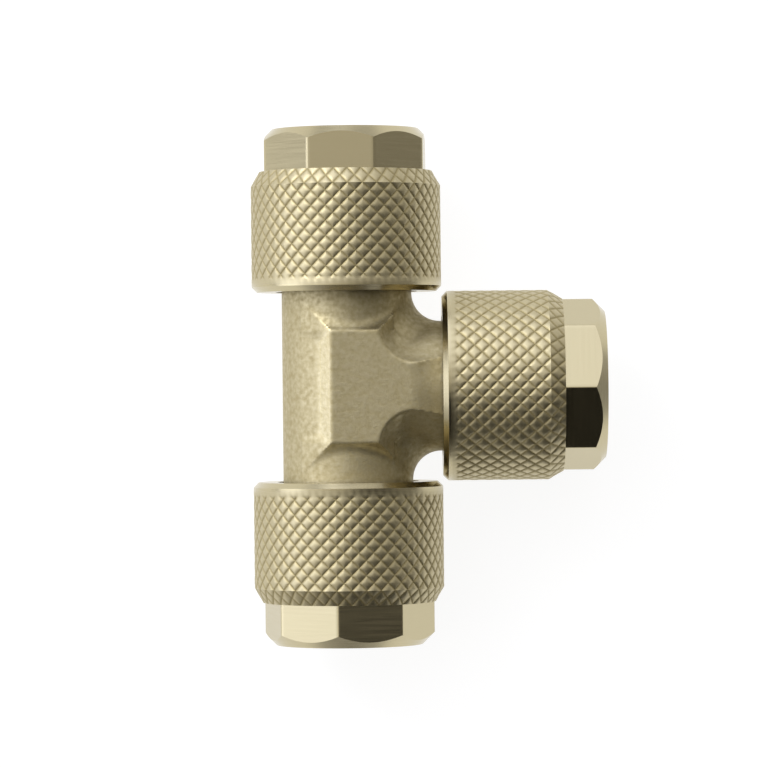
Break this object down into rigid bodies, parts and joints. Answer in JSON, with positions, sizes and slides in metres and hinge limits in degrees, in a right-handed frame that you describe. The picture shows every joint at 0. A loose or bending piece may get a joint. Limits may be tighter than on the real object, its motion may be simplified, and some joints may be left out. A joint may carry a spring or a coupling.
{
  "type": "compression tee fitting",
  "caption": "Equal tee compression fitting in nickel-plated brass: a forged body with knurled union nuts that screw down over slotted sleeves to grip 8 mm tube.",
  "frame": {"origin": "middle of the rear forging pad's flat face, straight behind the point where the three port axes cross", "axes": "+X along the branch port, +Y along the run towards the top port, +Z from the rear pad to the front pad; the port axes lie at z = 6.1 mm"},
  "size_m": [0.0312, 0.0456, 0.0168],
  "materials": {
    "forged_nickel_plate": "matt nickel plate over blasted forged brass, warm champagne grey with a fine grain",
    "machined_nickel_plate": "satin nickel plate over machined brass, diamond knurl on the grip and fine turning lines on the flats",
    "sleeve_brass": "plain turned brass, satin",
    "support_brass": "plain turned brass, satin"
  },
  "bodies": {
    "tee": {"tee_body": "forged_nickel_plate", "tube_support_top": "support_brass", "tube_support_bottom": "support_brass", "tube_support_branch": "support_brass"},
    "sleeve_top": {"compression_sleeve_top": "sleeve_brass"},
    "sleeve_bottom": {"compression_sleeve_bottom": "sleeve_brass"},
    "sleeve_branch": {"compression_sleeve_branch": "sleeve_brass"},
    "nut_top": {"union_nut_top": "machined_nickel_plate"},
    "nut_bottom": {"union_nut_bottom": "machined_nickel_plate"},
    "nut_branch": {"union_nut_branch": "machined_nickel_plate"}
  },
  "joints": [
    {"name": "sleeve_top_travel", "type": "slide", "parent": "tee", "child": "sleeve_top", "axis": [0, 1, 0], "range_m": [0, 0.0055]},
    {"name": "nut_top_turn", "type": "hinge", "parent": "sleeve_top", "child": "nut_top", "pos_m": [0, 0.016, 0.0061], "axis": [0, 1, 0], "range_deg": [0, 1981]},
    {"name": "sleeve_bottom_travel", "type": "slide", "parent": "tee", "child": "sleeve_bottom", "axis": [0, -1, 0], "range_m": [0, 0.0055]},
    {"name": "nut_bottom_turn", "type": "hinge", "parent": "sleeve_bottom", "child": "nut_bottom", "pos_m": [0, -0.016, 0.0061], "axis": [0, -1, 0], "range_deg": [0, 1981]},
    {"name": "sleeve_branch_travel", "type": "slide", "parent": "tee", "child": "sleeve_branch", "axis": [1, 0, 0], "range_m": [0, 0.0055]},
    {"name": "nut_branch_turn", "type": "hinge", "parent": "sleeve_branch", "child": "nut_branch", "pos_m": [0.016, 0, 0.0061], "axis": [1, 0, 0], "range_deg": [0, 1981]}
  ],
  "couplings": [
    {"joint": "nut_top_turn", "follows": "sleeve_top_travel", "rad_per_m": 6283.2},
    {"joint": "nut_bottom_turn", "follows": "sleeve_bottom_travel", "rad_per_m": 6283.2},
    {"joint": "nut_branch_turn", "follows": "sleeve_branch_travel", "rad_per_m": 6283.2}
  ]
}
